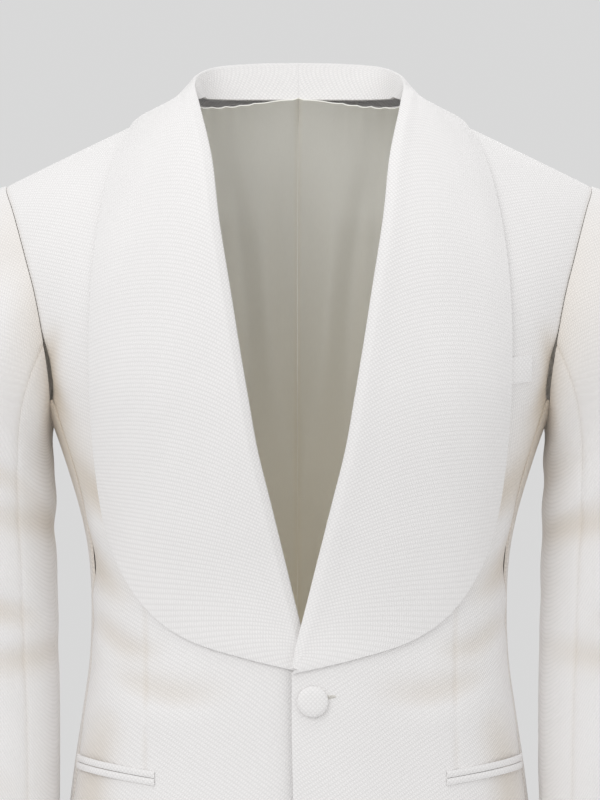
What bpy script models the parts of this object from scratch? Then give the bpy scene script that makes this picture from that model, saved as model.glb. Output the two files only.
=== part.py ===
"""A one-button tuxedo jacket with a shawl collar, filled out as worn and hollow inside.

Metres, +Z up. The jacket faces -Y and the wearer's left is +X. The origin lies midway
between the points where the shoulder seams meet the neck, which is where the wearer
holds the jacket up. Every panel of cloth is a thin wall on one shared body form.
"""

from collections import namedtuple
from functools import lru_cache
from math import asin, copysign, cos, hypot, pi, radians, sin

import bmesh
import bpy
import numpy as np

# Driving sizes, metres
SHELL_WALL = 0.0018
SHAWL_WALL = 0.0020
LINING_WALL = 0.0010
LINING_DEPTH = 0.0018
TRIM_WALL = 0.0012
STRIP_GAP = 0.0008
SEAM_GAP = 0.0003
FRONT_LAP = 0.0100
LAP_FULL_X = 0.030
LAP_END_X = 0.130
NECK_HALF = 0.089
NECK_ROUND = 0.050
NECK_TOP_LEVEL = 2.15
SHOULDER_SLOPE = 0.50
SQUARENESS = 0.80
UNDERARM_LEVEL = 8.0
WAIST_LEVEL = 12.0
HEM_LEVEL = 19.0
SIDE_SEAM_TOP = radians(72)
SIDE_SEAM_LOW = radians(80)
BACK_SEAM_TOP = radians(110)
BACK_SEAM_LOW = radians(112)
BUTTON_X = 0.009
BUTTON_Z = -0.4755
BUTTON_RADIUS = 0.0120
BUTTON_LIFT = 0.0004
SIDES = (("left", 1), ("right", -1))
SOLVE_STEPS = 26

# The body form: one row for each level, from the shoulder ridge down to the hem
Level = namedtuple("Level", "drop tilt half front back arm")
LEVELS = [
    Level(0.000, 1.00, 0.2500, 0.000, 0.000, 0.2354),
    Level(-0.006, 1.00, 0.2520, 0.030, 0.030, 0.2345),
    Level(-0.020, 1.00, 0.2530, 0.056, 0.056, 0.2300),
    Level(-0.045, 0.92, 0.2510, 0.080, 0.078, 0.2245),
    Level(-0.085, 0.75, 0.2460, 0.102, 0.098, 0.2170),
    Level(-0.130, 0.50, 0.2380, 0.117, 0.112, 0.2095),
    Level(-0.180, 0.25, 0.2260, 0.126, 0.120, 0.2030),
    Level(-0.225, 0.08, 0.2120, 0.130, 0.123, 0.1985),
    Level(-0.262, 0.00, 0.1975, 0.130, 0.123, 0.1975),
    Level(-0.300, 0.00, 0.1845, 0.128, 0.119, 0.1845),
    Level(-0.337, 0.00, 0.1740, 0.124, 0.114, 0.1740),
    Level(-0.370, 0.00, 0.1685, 0.120, 0.110, 0.1685),
    Level(-0.410, 0.00, 0.1668, 0.118, 0.108, 0.1668),
    Level(-0.450, 0.00, 0.1685, 0.119, 0.111, 0.1685),
    Level(-0.490, 0.00, 0.1740, 0.121, 0.117, 0.1740),
    Level(-0.530, 0.00, 0.1800, 0.123, 0.124, 0.1800),
    Level(-0.570, 0.00, 0.1850, 0.125, 0.129, 0.1850),
    Level(-0.620, 0.00, 0.1900, 0.126, 0.132, 0.1900),
    Level(-0.670, 0.00, 0.1940, 0.127, 0.133, 0.1940),
    Level(-0.720, 0.00, 0.1970, 0.127, 0.133, 0.1970),
]

# The shawl on the front: the line where it rolls over and its outer edge
Lapel = namedtuple("Lapel", "roll_x roll_z edge_x edge_z")
LAPEL = [
    Lapel(-0.0072, -0.4495, -0.0068, -0.4540),
    Lapel(-0.0030, -0.4300, 0.0400, -0.4430),
    Lapel(0.0045, -0.4000, 0.0850, -0.4290),
    Lapel(0.0130, -0.3650, 0.1160, -0.4080),
    Lapel(0.0237, -0.3215, 0.1390, -0.3750),
    Lapel(0.0340, -0.2800, 0.1530, -0.3340),
    Lapel(0.0410, -0.2410, 0.1610, -0.2750),
    Lapel(0.0480, -0.2000, 0.1640, -0.2150),
    Lapel(0.0550, -0.1560, 0.1630, -0.1550),
    Lapel(0.0640, -0.1000, 0.1570, -0.1000),
    Lapel(0.0700, -0.0500, 0.1460, -0.0520),
    Lapel(0.0800, -0.0060, 0.1310, -0.0192),
]

# The shawl behind the shoulder seams: the stand's foot, the fold and the fall's edge
Collar = namedtuple("Collar", "foot fold edge")
COLLAR = [
    Collar((0.0780, 0.012, 0.0032), (0.0850, 0.010, 0.0160), (0.1190, -0.0235)),
    Collar((0.0730, 0.029, 0.0036), (0.0805, 0.031, 0.0245), (0.1000, -0.0260)),
    Collar((0.0580, 0.045, 0.0042), (0.0660, 0.054, 0.0315), (0.0740, -0.0230)),
    Collar((0.0310, 0.055, 0.0048), (0.0360, 0.067, 0.0350), (0.0380, -0.0180)),
    Collar((0.0000, 0.058, 0.0050), (0.0000, 0.071, 0.0360), (0.0000, -0.0160)),
]

# Across the shawl: how far a point lies from the roll line and from the front's face
Fold = namedtuple("Fold", "shift lift")
FOLD = [
    Fold(0.0160, -0.0066),
    Fold(0.0062, -0.0062),
    Fold(-0.0005, 0.0000),
    Fold(0.0062, 0.0062),
]
FALL_STEPS = 7
FALL_LIFT = 0.0062
EDGE_LIFT = 0.0058
FLAT_LIFT = 0.0044
FLAT_TUCK = -0.0042
LEAST_FOLD = 0.50
FULL_FOLD_WIDTH = 0.030
FALL_BOW = 0.0040
STAND_BOW = 0.0010
FOLD_REACH = 0.0062
FOLD_DROP = 0.0040

# The sleeve below its cap: one row for each ring
Ring = namedtuple("Ring", "height inner half_width half_depth centre_y")
RINGS = [
    Ring(-0.300, 0.1965, 0.0580, 0.0670, 0.000),
    Ring(-0.360, 0.1950, 0.0560, 0.0620, -0.002),
    Ring(-0.420, 0.1935, 0.0540, 0.0580, -0.006),
    Ring(-0.480, 0.1920, 0.0520, 0.0540, -0.013),
    Ring(-0.540, 0.1915, 0.0500, 0.0505, -0.022),
    Ring(-0.600, 0.1915, 0.0480, 0.0475, -0.031),
    Ring(-0.660, 0.1915, 0.0465, 0.0450, -0.039),
    Ring(-0.690, 0.1915, 0.0460, 0.0440, -0.043),
]
CAP_HANDLE = 0.42
SLEEVE_GAP = 0.0013
SLEEVE_FRONT_SEAM = radians(122)
SLEEVE_BACK_SEAM = radians(238)

# The front edge below the roll line, with the rounded quarter at the hem
Edge = namedtuple("Edge", "height lapped under")
FRONT_EDGE = [
    Edge(-0.4540, -0.0072, -0.0072),
    Edge(-0.5000, -0.0072, -0.0200),
    Edge(-0.5570, -0.0060, -0.0180),
    Edge(-0.6000, -0.0010, -0.0100),
    Edge(-0.6400, 0.0100, 0.0040),
    Edge(-0.6700, 0.0250, 0.0210),
    Edge(-0.6950, 0.0460, 0.0430),
    Edge(-0.7120, 0.0720, 0.0700),
    Edge(-0.7200, 0.0980, 0.0970),
]
PANEL_SETBACK = 0.0060
NECK_SETBACK = 0.0075
NECK_START_Z = -0.030

# Strips on the fronts: the inner end, the outer end and the width of each
Strip = namedtuple("Strip", "inner_x inner_z outer_x outer_z low high")
POCKET_UPPER = Strip(0.114, -0.5365, 0.1760, -0.5285, 0.0003, 0.0055)
POCKET_LOWER = Strip(0.114, -0.5365, 0.1760, -0.5285, -0.0055, -0.0003)
BREAST_WELT = Strip(0.085, -0.2210, 0.1810, -0.2050, -0.0210, 0.0000)

IVORY = (0.87, 0.86, 0.83)
SATIN = (0.80, 0.75, 0.62)


def through(rows, place):
    """Read a smooth curve through the rows at a place counted in rows."""
    last = len(rows) - 1
    low = min(max(int(place), 0), last - 1)
    t = place - low
    one = rows[low]
    two = rows[low + 1]
    before = rows[low - 1] if low > 0 else 2 * one - two
    after = rows[low + 2] if low + 2 <= last else 2 * two - one
    slope_one = (two - before) / 2
    slope_two = (after - one) / 2
    return (
        (2 * t**3 - 3 * t**2 + 1) * one
        + (t**3 - 2 * t**2 + t) * slope_one
        + (3 * t**2 - 2 * t**3) * two
        + (t**3 - t**2) * slope_two
    )


def ease(value, start, end):
    """Go smoothly from 0 at start to 1 at end."""
    t = min(max((value - start) / (end - start), 0.0), 1.0)
    return t * t * (3 - 2 * t)


def solve(function, low, high, target):
    """Find where a function that only rises or only falls meets the target."""
    rising = function(high) > function(low)
    for _ in range(SOLVE_STEPS):
        middle = (low + high) / 2
        if (function(middle) < target) == rising:
            low = middle
        else:
            high = middle
    return (low + high) / 2


OVER_RIDGE = LEVELS[1]._replace(front=-LEVELS[1].front, back=-LEVELS[1].back)
LEVEL_ROWS = np.array([OVER_RIDGE] + LEVELS)
LAPEL_ROWS = np.array(LAPEL)
RING_ROWS = np.array(RINGS)


@lru_cache(maxsize=None)
def level_at(place):
    """Give the body form's sizes at a level, mirrored over the shoulder ridge."""
    return Level(*through(LEVEL_ROWS, abs(place) + 1).tolist())


def crown(x):
    """Give the shoulder line's height above the neck point at a distance from the centre."""
    return -SHOULDER_SLOPE * (hypot(x, NECK_ROUND) - hypot(NECK_HALF, NECK_ROUND))


def power(value):
    """Square a sine or cosine off, so that the section is fuller than an ellipse."""
    return copysign(abs(value) ** SQUARENESS, value)


def body_point(angle, place):
    """Give a point of the body form: angle 0 at the front, pi at the back."""
    level = level_at(place)
    x = level.half * power(sin(angle))
    depth = level.front if cos(angle) > 0 else level.back
    y = -depth * power(cos(angle)) * (1 if place >= 0 else -1)
    return np.array([x, y, level.drop + level.tilt * crown(x)])


def body_normal(angle, place):
    """Give the direction out of the body form."""
    step = 0.002
    around = body_point(angle + step, place) - body_point(angle - step, place)
    down = body_point(angle, place + step) - body_point(angle, place - step)
    normal = np.cross(down, around)
    return normal / np.linalg.norm(normal)


def angle_of(x, place):
    """Give the front angle at which the form reaches x."""
    ratio = min(abs(x) / level_at(place).half, 1.0)
    return asin(ratio ** (1 / SQUARENESS)) * (1 if x >= 0 else -1)


def place_of(x, z):
    """Give the level at which the form reaches the height z at x."""
    def height(place):
        level = level_at(place)
        return level.drop + level.tilt * crown(x)
    return solve(height, 0.0, HEM_LEVEL + 0.5, z)


def on_form(x, z, lift, back=False):
    """Give the point of the front or the back at x and z, moved out by lift."""
    place = place_of(x, z)
    angle = angle_of(x, place)
    angle = pi - angle if back else angle
    return body_point(angle, place) + lift * body_normal(angle, place)


def arm_angle(place):
    """Give the angle of the armhole's front edge at a level."""
    level = level_at(place)
    return asin(min(level.arm / level.half, 1.0) ** (1 / SQUARENESS))


def side_seam(place):
    """Give the angle of the seam between the front and the side."""
    return SIDE_SEAM_TOP + (SIDE_SEAM_LOW - SIDE_SEAM_TOP) * ease(
        place, UNDERARM_LEVEL, WAIST_LEVEL)


def back_seam(place):
    """Give the angle of the seam between the side and the back."""
    return BACK_SEAM_TOP + (BACK_SEAM_LOW - BACK_SEAM_TOP) * ease(
        place, UNDERARM_LEVEL, WAIST_LEVEL)


def armhole_level(angle):
    """Give the level of the armhole's lower edge at an angle beside the arm."""
    return solve(arm_angle, UNDERARM_LEVEL - 1.2, UNDERARM_LEVEL, min(angle, pi - angle))


SEAM_TURN = SEAM_GAP / 2 / LEVELS[8].half
FRONT_TOP = armhole_level(SIDE_SEAM_TOP)
BACK_TOP = armhole_level(BACK_SEAM_TOP)
RIDGE_LEVEL = 0.006
SEAM_LEVELS = [8.6, 9.4, 10.2, 11.0, 12.0, 13.0, 14.0, 15.0, 16.0, 17.4, HEM_LEVEL]
QUARTER_LEVELS = [18.0, 18.5, 18.84, HEM_LEVEL]


def lap_lift(x, side):
    """Give how far the left front stands off the right one near the centre."""
    if side < 0:
        return 0.0
    return FRONT_LAP * (1 - ease(x, LAP_FULL_X, LAP_END_X))


def fabric(name, colour, roughness):
    """Make a cloth material."""
    material = bpy.data.materials.new(name)
    material.use_nodes = True
    shader = material.node_tree.nodes["Principled BSDF"]
    shader.inputs["Base Color"].default_value = (*colour, 1)
    shader.inputs["Roughness"].default_value = roughness
    shader.inputs["Metallic"].default_value = 0
    return material


def finish(name, shape, colour, roughness):
    """Turn a closed bmesh into a named object with its own material."""
    bmesh.ops.recalc_face_normals(shape, faces=shape.faces)
    mesh = bpy.data.meshes.new(name)
    shape.to_mesh(mesh)
    shape.free()
    mesh.shade_smooth()
    mesh.set_sharp_from_angle(angle=radians(50))
    mesh.materials.append(fabric(name + "_cloth", colour, roughness))
    piece = bpy.data.objects.new(name, mesh)
    bpy.context.collection.objects.link(piece)
    return piece


def wall(name, points, normals, thickness, colour, roughness=0.7):
    """Make a closed wall of cloth whose outer face is the grid of points."""
    points = np.asarray(points)
    inner = points - thickness * np.asarray(normals)
    rows, columns = points.shape[:2]
    shape = bmesh.new()
    outside = [[shape.verts.new(p) for p in row] for row in points]
    inside = [[shape.verts.new(p) for p in row] for row in inner]
    for j in range(rows - 1):
        for i in range(columns - 1):
            for layer in (outside, inside):
                shape.faces.new((layer[j][i], layer[j][i + 1],
                                 layer[j + 1][i + 1], layer[j + 1][i]))
    border = [(0, i) for i in range(columns - 1)]
    border += [(j, columns - 1) for j in range(rows - 1)]
    border += [(rows - 1, i) for i in range(columns - 1, 0, -1)]
    border += [(j, 0) for j in range(rows - 1, 0, -1)]
    for here, there in zip(border, border[1:] + border[:1]):
        shape.faces.new((outside[here[0]][here[1]], outside[there[0]][there[1]],
                         inside[there[0]][there[1]], inside[here[0]][here[1]]))
    return finish(name, shape, colour, roughness)


def body_wall(name, side, grid, thickness, colour, lift=None, roughness=0.7):
    """Make a wall from a grid of angles and levels on the body form."""
    points, normals = [], []
    for row in grid:
        normal_row = [body_normal(side * angle, place) for angle, place in row]
        point_row = []
        for (angle, place), normal in zip(row, normal_row):
            point = body_point(side * angle, place)
            raised = lift(side * point[0], side) if callable(lift) else (lift or 0.0)
            point_row.append(point + raised * normal)
        points.append(point_row)
        normals.append(normal_row)
    return wall(name, points, normals, thickness, colour, roughness)


def steps(start, end, count):
    """Divide a stretch evenly."""
    return [start + (end - start) * k / count for k in range(count + 1)]


def roll_at(z):
    """Give the roll line's distance from the centre at a height."""
    rows = sorted(LAPEL, key=lambda row: row.roll_z)
    return float(np.interp(z, [row.roll_z for row in rows], [row.roll_x for row in rows]))


def front_edge(place, side):
    """Give the x of a front's inner edge at a level, on its own side of the centre."""
    rows = FRONT_EDGE[::-1]
    below = [row.lapped if side > 0 else row.under for row in rows]
    x = 0.03
    for _ in range(12):
        level = level_at(place)
        z = level.drop + level.tilt * crown(x)
        if z < FRONT_EDGE[0].height:
            x = float(np.interp(z, [row.height for row in rows], below))
        else:
            x = roll_at(z) + PANEL_SETBACK + NECK_SETBACK * ease(z, NECK_START_Z, 0.0)
    return x


def armhole_levels(low_level):
    """List the levels of a panel's rows beside the armhole, closer together at the top."""
    return [RIDGE_LEVEL] + [low_level * (1 - cos(pi * k / 18)) for k in range(2, 10)]


def make_front(name, side, columns=9):
    """Make a front: shoulder to hem, front edge to side seam or armhole."""
    grid = []
    for place in armhole_levels(FRONT_TOP) + SEAM_LEVELS[:-1] + QUARTER_LEVELS:
        inner = angle_of(front_edge(place, side), place)
        outer = arm_angle(place) if place < FRONT_TOP else side_seam(place) - SEAM_TURN
        grid.append([(angle, place) for angle in steps(inner, outer, columns)])
    return body_wall("front_" + name, side, grid, SHELL_WALL, IVORY, lap_lift)


def make_side(name, side, columns=4):
    """Make a side body: armhole to hem between its two seams."""
    grid = []
    across = steps(0.0, 1.0, columns)
    tops = [armhole_level(SIDE_SEAM_TOP + (BACK_SEAM_TOP - SIDE_SEAM_TOP) * u) for u in across]
    for places in [tops] + [[place] * len(across) for place in SEAM_LEVELS]:
        row = []
        for u, place in zip(across, places):
            start = side_seam(place) + SEAM_TURN
            end = back_seam(place) - SEAM_TURN
            row.append((start + (end - start) * u, place))
        grid.append(row)
    return body_wall("side_" + name, side, grid, SHELL_WALL, IVORY)


def back_outer(place):
    """Give the angle of a back's outer edge: the armhole, then the side seam."""
    return pi - arm_angle(place) if place < BACK_TOP else back_seam(place) + SEAM_TURN


def lining_outer(place):
    """Give the angle of a lining's outer edge, which runs on over the side body."""
    if place < UNDERARM_LEVEL:
        return pi - arm_angle(place)
    return pi / 2 + (side_seam(place) - pi / 2) * ease(place, UNDERARM_LEVEL, UNDERARM_LEVEL + 1)


def back_grid(outer_edge, low_level, rows, top_shift=0.0):
    """Lay a grid from the centre back to an outer edge, below the neck and shoulder."""
    corner = angle_of(NECK_HALF, 0) / angle_of(LEVELS[0].arm, 0)
    across = steps(0.0, corner, 3) + steps(corner, 1.0, 5)[1:]
    grid = []
    for down in rows:
        row = []
        for u in across:
            neck = NECK_TOP_LEVEL * (1 - min(u / corner, 1.0) ** 2) ** 0.5
            top = max(neck, RIDGE_LEVEL) + top_shift
            place = top + (low_level - top) * down
            outer = outer_edge(place)
            row.append((pi - SEAM_TURN + (outer - pi + SEAM_TURN) * u, place))
        grid.append(row)
    return grid


def back_rows():
    """List how far down a back's rows lie, as parts of the way from top to hem."""
    places = armhole_levels(BACK_TOP) + SEAM_LEVELS
    return [(place - RIDGE_LEVEL) / (HEM_LEVEL - RIDGE_LEVEL) for place in places]


def make_back(name, side):
    """Make half of the back, from the neck and shoulder to the hem."""
    grid = back_grid(back_outer, HEM_LEVEL, back_rows())
    return body_wall("back_" + name, side, grid, SHELL_WALL, IVORY)


def make_lining(name, side):
    """Make half of the lining, which hangs inside the back and the side."""
    depth = -(SHELL_WALL + LINING_DEPTH)
    grid = back_grid(lining_outer, HEM_LEVEL - 0.4, back_rows(), top_shift=0.08)
    return body_wall("lining_" + name, side, grid, LINING_WALL, SATIN, depth, 0.35)


def shawl_front_point(station, column, side):
    """Give a point of the lapel: station along it, column across it."""
    row = Lapel(*through(LAPEL_ROWS, station))
    flatness = ease(station, 0.0, 4.0)
    knots = []
    for fold in FOLD:
        flat = min(max(fold.lift, FLAT_TUCK), FLAT_LIFT)
        knots.append((fold.shift, 0.0, flat + (fold.lift - flat) * flatness))
    start = knots[-1]
    for k in range(1, FALL_STEPS + 1):
        far = k / FALL_STEPS
        low = EDGE_LIFT if k == FALL_STEPS else FALL_LIFT
        knots.append((start[0] * (1 - far), far, FLAT_LIFT + (low - FLAT_LIFT) * flatness))
    width = hypot(row.edge_x - row.roll_x, row.edge_z - row.roll_z)
    shift, far, lift = through(np.array(knots), column)
    shift *= min(max(width / FULL_FOLD_WIDTH, LEAST_FOLD), 1.0)
    x = row.roll_x + shift + (row.edge_x - row.roll_x) * far
    z = row.roll_z + (row.edge_z - row.roll_z) * far
    return on_form(x, z, lift + lap_lift(x, side))


def back_height(x, y):
    """Give the height of the back or shoulder above a point behind the ridge."""
    def depth(place):
        return level_at(place).back * power(cos(angle_of(x, place)))
    level = level_at(solve(depth, 0.0, UNDERARM_LEVEL - 2, y))
    return level.drop + level.tilt * crown(x)


def collar_column(row, column):
    """Give a point of the collar's cross-section behind the shoulder seam."""
    foot = np.array(row.foot)
    fold = np.array(row.fold)
    edge = on_form(*row.edge, FALL_LIFT, back=True)
    outward = np.array([edge[0] - foot[0], edge[1] - foot[1], 0.0])
    outward /= np.linalg.norm(outward)
    down = np.array([0.0, 0.0, -1.0])
    knots = [foot, foot + (fold - foot) * 0.78 - outward * STAND_BOW, fold]
    shoulder = fold + outward * FOLD_REACH + down * FOLD_DROP
    for k in range(FALL_STEPS + 1):
        far = k / FALL_STEPS
        point = shoulder + (edge - shoulder) * far + outward * FALL_BOW * sin(pi * far)
        point[2] = max(point[2], back_height(point[0], point[1]) + FALL_LIFT)
        knots.append(point)
    return through(knots, column)


def shawl_point(station, column, side):
    """Give a point of the shawl anywhere from the button to the centre back."""
    last_front = len(LAPEL) - 1
    if station <= last_front:
        return shawl_front_point(station, column, side)
    keys = [shawl_front_point(last_front - 1, column, side),
            shawl_front_point(last_front, column, side)]
    keys += [collar_column(row, column) for row in COLLAR]
    keys.append(keys[-2] * np.array([-1.0, 1.0, 1.0]))
    return through(keys, station - last_front + 1)


def shawl_normal(station, column, side):
    """Give the direction out of the shawl's showing face."""
    step = 0.03
    last = len(LAPEL) + len(COLLAR) - 1
    highest = len(FOLD) + FALL_STEPS - 1
    along = (shawl_point(min(station + step, last), column, side)
             - shawl_point(max(station - step, 0.0), column, side))
    across = (shawl_point(station, min(column + step, highest), side)
              - shawl_point(station, max(column - step, 0.0), side))
    normal = np.cross(across, along)
    return normal / np.linalg.norm(normal)


def make_shawl(name, side):
    """Make half of the shawl: lapel, stand and fall in one wall, joined at the back."""
    last = len(LAPEL) + len(COLLAR) - 1
    stations = [0.0] + steps(1.0, 9.0, 8) + [9.5, 10.0, 10.3, 10.6, 10.8]
    stations += steps(len(LAPEL) - 1, last, 9)
    columns = range(len(FOLD) + FALL_STEPS)
    mirror = np.array([side, 1, 1])
    points, normals = [], []
    for station in stations:
        row = [shawl_point(station, column, side) for column in columns]
        if station == last:
            row = [p + np.array([SEAM_GAP / 2, 0, 0]) for p in row]
        points.append([p * mirror for p in row])
        normals.append([shawl_normal(station, c, side) * mirror for c in columns])
    return wall("shawl_" + name, points, normals, SHAWL_WALL, IVORY)


def armhole_point(turn):
    """Give a point of the armhole: turn 0 at the shoulder, a quarter turn at the front."""
    place = UNDERARM_LEVEL * (1 - cos(turn)) / 2
    angle = arm_angle(place)
    return body_point(angle if turn % (2 * pi) <= pi else pi - angle, place)


def ring_point(turn, place):
    """Give a point of the sleeve below its cap: place counts the rings."""
    ring = Ring(*through(RING_ROWS, place))
    x = ring.inner + ring.half_width * (1 + cos(turn))
    return np.array([x, ring.centre_y - ring.half_depth * sin(turn), ring.height])


def sleeve_point(turn, place):
    """Give a point of the sleeve: place 0 at the armhole, 1 at the first ring."""
    if place >= 1:
        return ring_point(turn, place - 1)
    start = armhole_point(turn)
    end = ring_point(turn, 0)
    reach = CAP_HANDLE * np.linalg.norm(end - start)
    upper = (1 + cos(turn)) / 2
    lead = upper * np.array([1.0, 0.0, -0.42]) + (1 - upper) * np.array([0.20, 0.0, -0.95])
    lead[1] = -0.35 * sin(turn)
    lead *= reach / np.linalg.norm(lead)
    start = start + lead / reach * SLEEVE_GAP
    fall = np.array([0.0, 0.0, -reach])
    t = place
    return ((1 - t) ** 3 * start + 3 * (1 - t) ** 2 * t * (start + lead)
            + 3 * (1 - t) * t**2 * (end - fall) + t**3 * end)


def sleeve_normal(turn, place):
    """Give the direction out of the sleeve."""
    step = 0.01
    around = sleeve_point(turn + step, place) - sleeve_point(turn - step, place)
    lowest = max(place - step, 0.0)
    down = sleeve_point(turn, place + step) - sleeve_point(turn, lowest)
    normal = np.cross(around, down)
    return normal / np.linalg.norm(normal)


def make_sleeve(kind, name, side, first, last, columns):
    """Make the top or the under sleeve between two seams."""
    places = steps(0.0, 1.0, 6) + steps(1.0, len(RINGS), 7)[1:]
    mirror = np.array([side, 1, 1])
    turns = steps(first + 2 * SEAM_TURN, last - 2 * SEAM_TURN, columns)
    points = [[sleeve_point(turn, place) * mirror for turn in turns] for place in places]
    normals = [[sleeve_normal(turn, place) * mirror for turn in turns] for place in places]
    return wall(f"{kind}_sleeve_{name}", points, normals, SHELL_WALL, IVORY)


def make_strip(name, side, strip, columns=9):
    """Make a strip that lies on a front: a pocket jet or the breast welt."""
    lift = STRIP_GAP + TRIM_WALL
    rows = []
    normals = []
    for offset in (strip.high, strip.low):
        points, outs = [], []
        for far in steps(0.0, 1.0, columns):
            x = strip.inner_x + (strip.outer_x - strip.inner_x) * far
            z = strip.inner_z + (strip.outer_z - strip.inner_z) * far + offset
            base = on_form(x, z, 0.0)
            out = on_form(x, z, 1.0) - base
            raised = lift + lap_lift(x, side)
            points.append((base + raised * out) * np.array([side, 1, 1]))
            outs.append(out * np.array([side, 1, 1]))
        rows.append(points)
        normals.append(outs)
    return wall(name, rows, normals, TRIM_WALL, IVORY)


def make_button():
    """Make the covered button: a low dome turned about its own axis."""
    base = on_form(BUTTON_X, BUTTON_Z, FRONT_LAP + BUTTON_LIFT)
    out = on_form(BUTTON_X, BUTTON_Z, 1.0) - on_form(BUTTON_X, BUTTON_Z, 0.0)
    profile = [(0.80, 0.0), (0.97, 0.0012), (1.0, 0.0022), (0.93, 0.0036), (0.70, 0.0046),
               (0.36, 0.0052)]
    around = 24
    across = np.cross(out, np.array([0.0, 0.0, 1.0]))
    across /= np.linalg.norm(across)
    upward = np.cross(across, out)
    shape = bmesh.new()
    rings = []
    for radius, height in profile:
        ring = []
        for k in range(around):
            turn = 2 * pi * k / around
            spread = across * cos(turn) + upward * sin(turn)
            ring.append(shape.verts.new(base + out * height + spread * radius * BUTTON_RADIUS))
        rings.append(ring)
    for low, high in zip(rings, rings[1:]):
        for k in range(around):
            nxt = (k + 1) % around
            shape.faces.new((low[k], low[nxt], high[nxt], high[k]))
    shape.faces.new(rings[0])
    shape.faces.new(rings[-1])
    return finish("button_front", shape, IVORY, 0.6)


def main():
    """Clear the scene and make every piece."""
    for piece in list(bpy.data.objects):
        bpy.data.objects.remove(piece)
    for name, side in SIDES:
        make_front(name, side)
        make_side(name, side)
        make_back(name, side)
        make_lining(name, side)
        make_shawl(name, side)
        front, back = SLEEVE_FRONT_SEAM, SLEEVE_BACK_SEAM
        make_sleeve("under", name, side, front, back, 5)
        make_sleeve("top", name, side, back - 2 * pi, front, 10)
        make_strip("jet_upper_" + name, side, POCKET_UPPER)
        make_strip("jet_lower_" + name, side, POCKET_LOWER)
    make_strip("welt_breast", 1, BREAST_WELT)
    make_button()


main()
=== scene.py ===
from math import cos, hypot, pi, radians, sin

import bmesh
import bpy
import numpy as np
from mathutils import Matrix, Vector


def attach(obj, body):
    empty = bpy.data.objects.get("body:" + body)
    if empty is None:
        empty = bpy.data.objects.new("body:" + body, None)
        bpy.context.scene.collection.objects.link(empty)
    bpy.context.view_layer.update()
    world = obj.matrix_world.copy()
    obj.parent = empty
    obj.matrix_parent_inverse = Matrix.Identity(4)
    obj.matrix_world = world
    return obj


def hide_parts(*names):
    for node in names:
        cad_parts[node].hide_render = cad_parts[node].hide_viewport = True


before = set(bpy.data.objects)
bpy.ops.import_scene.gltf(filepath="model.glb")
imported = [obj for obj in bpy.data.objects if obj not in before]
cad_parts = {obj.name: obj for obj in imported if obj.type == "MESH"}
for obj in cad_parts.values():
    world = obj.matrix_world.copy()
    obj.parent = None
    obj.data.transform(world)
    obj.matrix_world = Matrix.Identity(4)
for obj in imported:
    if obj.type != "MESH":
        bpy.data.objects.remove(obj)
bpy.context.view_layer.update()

bl_info = {
    "name": "Shawl-collar tuxedo jacket",
    "version": (1, 0, 0),
    "blender": (4, 5, 0),
    "location": "3D View > Sidebar > Tuxedo",
    "description": "Cloth, satin lining, covered button and stage for the jacket",
    "category": "Object",
}

BODY = "root"
SHELL_WALL = 0.0018
SHAWL_WALL = 0.0020
LINING_WALL = 0.0010
LINING_DEPTH = 0.0032
SEAM_GAP = 0.0003
SEAM_DIP = 0.0006
SEAM_WIDTH = 0.0022
FRONT_LAP = 0.0072
LAP_FULL_X = 0.020
LAP_END_X = 0.100
NECK_HALF = 0.089
NECK_ROUND = 0.050
NECK_TOP_LEVEL = 2.15
SHOULDER_SLOPE = 0.50
SQUARENESS = 0.80
UNDERARM_LEVEL = 8.0
WAIST_LEVEL = 12.0
HEM_LEVEL = 19.0
SIDE_SEAM = (radians(72), radians(80))
BACK_SEAM = (radians(110), radians(112))
BUTTON_X = 0.009
BUTTON_Z = -0.4755
SOLVE_STEPS = 26

# The body form: drop, tilt, half width, front depth, back depth, armhole x
LEVELS = np.array([
    (0.000, 1.00, 0.2500, 0.000, 0.000, 0.2354),
    (-0.006, 1.00, 0.2520, 0.030, 0.030, 0.2345),
    (-0.020, 1.00, 0.2530, 0.056, 0.056, 0.2300),
    (-0.045, 0.92, 0.2510, 0.080, 0.078, 0.2245),
    (-0.085, 0.75, 0.2460, 0.102, 0.098, 0.2170),
    (-0.130, 0.50, 0.2380, 0.117, 0.112, 0.2095),
    (-0.180, 0.25, 0.2260, 0.126, 0.120, 0.2030),
    (-0.225, 0.08, 0.2120, 0.130, 0.123, 0.1985),
    (-0.262, 0.00, 0.1975, 0.130, 0.123, 0.1975),
    (-0.300, 0.00, 0.1845, 0.128, 0.119, 0.1845),
    (-0.337, 0.00, 0.1740, 0.124, 0.114, 0.1740),
    (-0.370, 0.00, 0.1685, 0.120, 0.110, 0.1685),
    (-0.410, 0.00, 0.1668, 0.118, 0.108, 0.1668),
    (-0.450, 0.00, 0.1685, 0.119, 0.111, 0.1685),
    (-0.490, 0.00, 0.1740, 0.121, 0.117, 0.1740),
    (-0.530, 0.00, 0.1800, 0.123, 0.124, 0.1800),
    (-0.570, 0.00, 0.1850, 0.125, 0.129, 0.1850),
    (-0.620, 0.00, 0.1900, 0.126, 0.132, 0.1900),
    (-0.670, 0.00, 0.1940, 0.127, 0.133, 0.1940),
    (-0.720, 0.00, 0.1970, 0.127, 0.133, 0.1970),
])

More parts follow.
